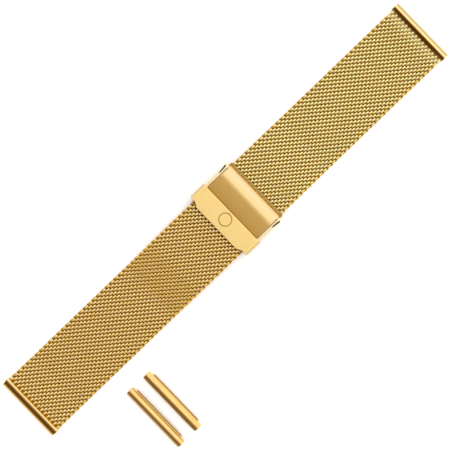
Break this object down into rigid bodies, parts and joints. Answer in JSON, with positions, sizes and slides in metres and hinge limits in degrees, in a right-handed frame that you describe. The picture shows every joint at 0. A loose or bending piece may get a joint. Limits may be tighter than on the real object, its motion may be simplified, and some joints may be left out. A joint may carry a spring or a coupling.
{
  "type": "milanese mesh watch band",
  "caption": "Woven metal mesh watch band, closed flat, with a hinged sliding clasp, a hook and catch bar, lug tubes at both ends and loose ribbed end bars beside it.",
  "frame": {"origin": "middle of the clasp's underside", "axes": "+X along the long half to its lug tube, +Y across the band, +Z away from the wrist"},
  "size_m": [0.1717, 0.0536, 0.0055],
  "materials": {
    "clasp_satin": "satin brushed gold plate",
    "mesh_wire": "gold plated woven wire",
    "tube_polish": "polished gold plate",
    "pin_steel": "plain gold plate"
  },
  "bodies": {
    "base": {"clasp_base": "clasp_satin", "hook_plate": "clasp_satin"},
    "cover": {"cover_leaf": "clasp_satin", "cover_plate": "clasp_satin", "cover_hinge_pin": "pin_steel"},
    "flap": {"locking_flap": "clasp_satin", "flap_pin": "pin_steel"},
    "long_1": {"long_mesh_1": "mesh_wire", "long_end_clip": "clasp_satin"},
    "long_2": {"long_mesh_2": "mesh_wire"},
    "long_3": {"long_mesh_3": "mesh_wire"},
    "long_4": {"long_mesh_4": "mesh_wire"},
    "long_5": {"long_mesh_5": "mesh_wire"},
    "long_6": {"long_mesh_6": "mesh_wire"},
    "long_7": {"long_mesh_7": "mesh_wire", "long_lug_tube": "tube_polish"},
    "short_1": {"short_mesh_1": "mesh_wire", "short_end_clip": "clasp_satin", "catch_bar": "pin_steel"},
    "short_2": {"short_mesh_2": "mesh_wire"},
    "short_3": {"short_mesh_3": "mesh_wire"},
    "short_4": {"short_mesh_4": "mesh_wire"},
    "short_5": {"short_mesh_5": "mesh_wire"},
    "short_6": {"short_mesh_6": "mesh_wire"},
    "short_7": {"short_mesh_7": "mesh_wire", "short_lug_tube": "tube_polish"},
    "spare_1": {"spare_end_bar_1": "tube_polish"},
    "spare_2": {"spare_end_bar_2": "tube_polish"}
  },
  "joints": [
    {"name": "cover_hinge", "type": "hinge", "parent": "base", "child": "cover", "pos_m": [0.0066, 0, 0.0035], "axis": [0, 1, 0], "range_deg": [0, 100]},
    {"name": "locking_flap_hinge", "type": "hinge", "parent": "base", "child": "flap", "pos_m": [0.0069, 0, 0.00045], "axis": [0, -1, 0], "range_deg": [0, 75]},
    {"name": "clasp_slide", "type": "slide", "parent": "base", "child": "long_1", "axis": [1, 0, 0], "range_m": [-0.006, 0.0088]},
    {"name": "catch_bar_pivot", "type": "hinge", "parent": "base", "child": "short_1", "pos_m": [-0.0052, 0, 0.00359], "axis": [0, 1, 0], "range_deg": [0, 5]},
    {"name": "long_bend_1", "type": "hinge", "parent": "long_1", "child": "long_2", "pos_m": [0.017, 0, 0.00167], "axis": [0, 1, 0], "range_deg": [-32.97, 23.03]},
    {"name": "long_bend_2", "type": "hinge", "parent": "long_2", "child": "long_3", "pos_m": [0.0285, 0, 0.00067], "axis": [0, 1, 0], "range_deg": [-23.03, 32.97]},
    {"name": "long_bend_3", "type": "hinge", "parent": "long_3", "child": "long_4", "pos_m": [0.03861, 0, 0.00067], "axis": [0, 1, 0], "range_deg": [-28, 28]},
    {"name": "long_bend_4", "type": "hinge", "parent": "long_4", "child": "long_5", "pos_m": [0.04872, 0, 0.00067], "axis": [0, 1, 0], "range_deg": [-28, 28]},
    {"name": "long_bend_5", "type": "hinge", "parent": "long_5", "child": "long_6", "pos_m": [0.05883, 0, 0.00067], "axis": [0, 1, 0], "range_deg": [-28, 28]},
    {"name": "long_bend_6", "type": "hinge", "parent": "long_6", "child": "long_7", "pos_m": [0.06894, 0, 0.00067], "axis": [0, 1, 0], "range_deg": [-23.59, 32.41]},
    {"name": "short_bend_1", "type": "hinge", "parent": "short_1", "child": "short_2", "pos_m": [-0.027, 0, 0.00359], "axis": [0, -1, 0], "range_deg": [-42.25, 13.75]},
    {"name": "short_bend_2", "type": "hinge", "parent": "short_2", "child": "short_3", "pos_m": [-0.0385, 0, 0.00067], "axis": [0, -1, 0], "range_deg": [-13.75, 42.25]},
    {"name": "short_bend_3", "type": "hinge", "parent": "short_3", "child": "short_4", "pos_m": [-0.04875, 0, 0.00067], "axis": [0, -1, 0], "range_deg": [-28, 28]},
    {"name": "short_bend_4", "type": "hinge", "parent": "short_4", "child": "short_5", "pos_m": [-0.059, 0, 0.00067], "axis": [0, -1, 0], "range_deg": [-28, 28]},
    {"name": "short_bend_5", "type": "hinge", "parent": "short_5", "child": "short_6", "pos_m": [-0.06925, 0, 0.00067], "axis": [0, -1, 0], "range_deg": [-28, 28]},
    {"name": "short_bend_6", "type": "hinge", "parent": "short_6", "child": "short_7", "pos_m": [-0.0795, 0, 0.00067], "axis": [0, -1, 0], "range_deg": [-23.65, 32.35]},
    {"name": "spare_1_lift", "type": "slide", "parent": "base", "child": "spare_1", "axis": [0, 0, 1], "range_m": [0, 0.03]},
    {"name": "spare_2_lift", "type": "slide", "parent": "base", "child": "spare_2", "axis": [0, 0, 1], "range_m": [0, 0.03]}
  ]
}
